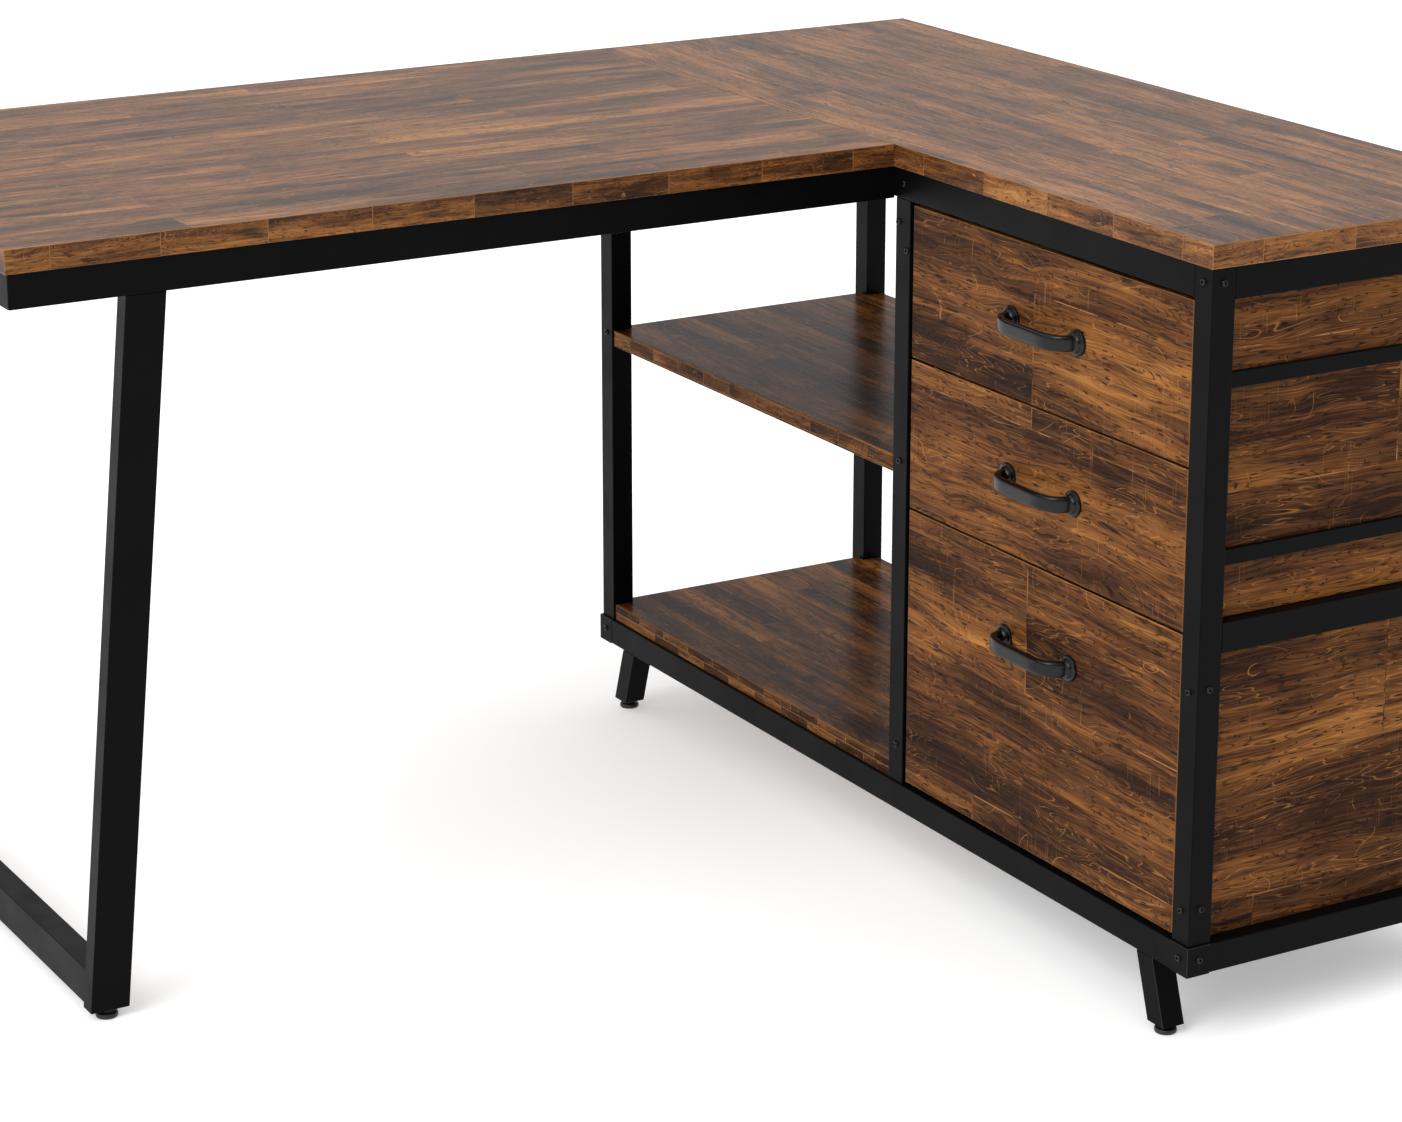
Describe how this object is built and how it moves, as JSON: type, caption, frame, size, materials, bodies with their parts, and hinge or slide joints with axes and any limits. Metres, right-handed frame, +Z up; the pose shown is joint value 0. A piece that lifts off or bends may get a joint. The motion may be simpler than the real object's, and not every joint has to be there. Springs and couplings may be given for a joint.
{
  "type": "corner desk",
  "caption": "L-shaped corner desk with wood-look worktops, black steel frame, slanted loop leg, open shelves and a stack of drawers on the return.",
  "frame": {"origin": "on the floor, under the middle of the overall rectangle that both wings fill", "axes": "+X along the main wing towards the drawer cabinet, +Y from the sitter towards the back edge, +Z up"},
  "size_m": [1.3, 1.1, 0.75],
  "materials": {
    "laminate_board": "rustic brown laminate, satin",
    "black_steel": "black powder coat, satin",
    "black_pull": "black lacquer, satin-gloss",
    "drawer_board": "dark melamine board, matt",
    "slide_steel": "zinc plated",
    "foot_plastic": "black"
  },
  "bodies": {
    "desk": {"main_top": "laminate_board", "return_top": "laminate_board", "shelf_upper": "laminate_board", "shelf_lower": "laminate_board", "end_panel_lower": "laminate_board", "end_panel_upper": "laminate_board", "partition_panel": "laminate_board", "outer_side_panel": "laminate_board", "apron_front": "black_steel", "apron_back": "black_steel", "apron_end": "black_steel", "leg_frame": "black_steel", "top_rail_inner": "black_steel", "top_rail_outer": "black_steel", "top_rail_front": "black_steel", "top_rail_back": "black_steel", "bottom_rail_inner": "black_steel", "bottom_rail_outer": "black_steel", "bottom_rail_front": "black_steel", "bottom_rail_back": "black_steel", "end_bar_middle": "black_steel", "end_bar_upper": "black_steel", "end_bar_lower": "black_steel", "post_front_inner": "black_steel", "post_front_outer": "black_steel", "post_middle_inner": "black_steel", "post_middle_outer": "black_steel", "post_back_inner": "black_steel", "post_back_outer": "black_steel", "short_leg_front_inner": "black_steel", "short_leg_front_outer": "black_steel", "short_leg_back_inner": "black_steel", "short_leg_back_outer": "black_steel", "slide_rail_upper_front": "slide_steel", "slide_rail_upper_back": "slide_steel", "slide_rail_middle_front": "slide_steel", "slide_rail_middle_back": "slide_steel", "slide_rail_file_front": "slide_steel", "slide_rail_file_back": "slide_steel"},
    "drawer_upper": {"drawer_front_upper": "laminate_board", "drawer_box_upper": "drawer_board", "pull_upper": "black_pull", "slide_runner_upper_front": "slide_steel", "slide_runner_upper_back": "slide_steel"},
    "drawer_middle": {"drawer_front_middle": "laminate_board", "drawer_box_middle": "drawer_board", "pull_middle": "black_pull", "slide_runner_middle_front": "slide_steel", "slide_runner_middle_back": "slide_steel"},
    "drawer_file": {"drawer_front_file": "laminate_board", "drawer_box_file": "drawer_board", "pull_file": "black_pull", "slide_runner_file_front": "slide_steel", "slide_runner_file_back": "slide_steel"},
    "leveller_main_front": {"leveller_main_front": "foot_plastic"},
    "leveller_main_back": {"leveller_main_back": "foot_plastic"},
    "leveller_front_inner": {"leveller_front_inner": "foot_plastic"},
    "leveller_front_outer": {"leveller_front_outer": "foot_plastic"},
    "leveller_back_inner": {"leveller_back_inner": "foot_plastic"},
    "leveller_back_outer": {"leveller_back_outer": "foot_plastic"}
  },
  "joints": [
    {"name": "drawer_upper_slide", "type": "slide", "parent": "desk", "child": "drawer_upper", "axis": [-1, 0, 0], "range_m": [0, 0.225]},
    {"name": "drawer_middle_slide", "type": "slide", "parent": "desk", "child": "drawer_middle", "axis": [-1, 0, 0], "range_m": [0, 0.225]},
    {"name": "drawer_file_slide", "type": "slide", "parent": "desk", "child": "drawer_file", "axis": [-1, 0, 0], "range_m": [0, 0.225]},
    {"name": "leveller_main_front_turn", "type": "hinge", "parent": "desk", "child": "leveller_main_front", "pos_m": [-0.564, 0.015, 0.004], "axis": [0, 0, 1], "continuous": true},
    {"name": "leveller_main_back_turn", "type": "hinge", "parent": "desk", "child": "leveller_main_back", "pos_m": [-0.564, 0.485, 0.004], "axis": [0, 0, 1], "continuous": true},
    {"name": "leveller_front_inner_turn", "type": "hinge", "parent": "desk", "child": "leveller_front_inner", "pos_m": [0.263, -0.505, 0.004], "axis": [0, 0, 1], "continuous": true},
    {"name": "leveller_front_outer_turn", "type": "hinge", "parent": "desk", "child": "leveller_front_outer", "pos_m": [0.603, -0.505, 0.004], "axis": [0, 0, 1], "continuous": true},
    {"name": "leveller_back_inner_turn", "type": "hinge", "parent": "desk", "child": "leveller_back_inner", "pos_m": [0.263, 0.505, 0.004], "axis": [0, 0, 1], "continuous": true},
    {"name": "leveller_back_outer_turn", "type": "hinge", "parent": "desk", "child": "leveller_back_outer", "pos_m": [0.603, 0.505, 0.004], "axis": [0, 0, 1], "continuous": true}
  ]
}
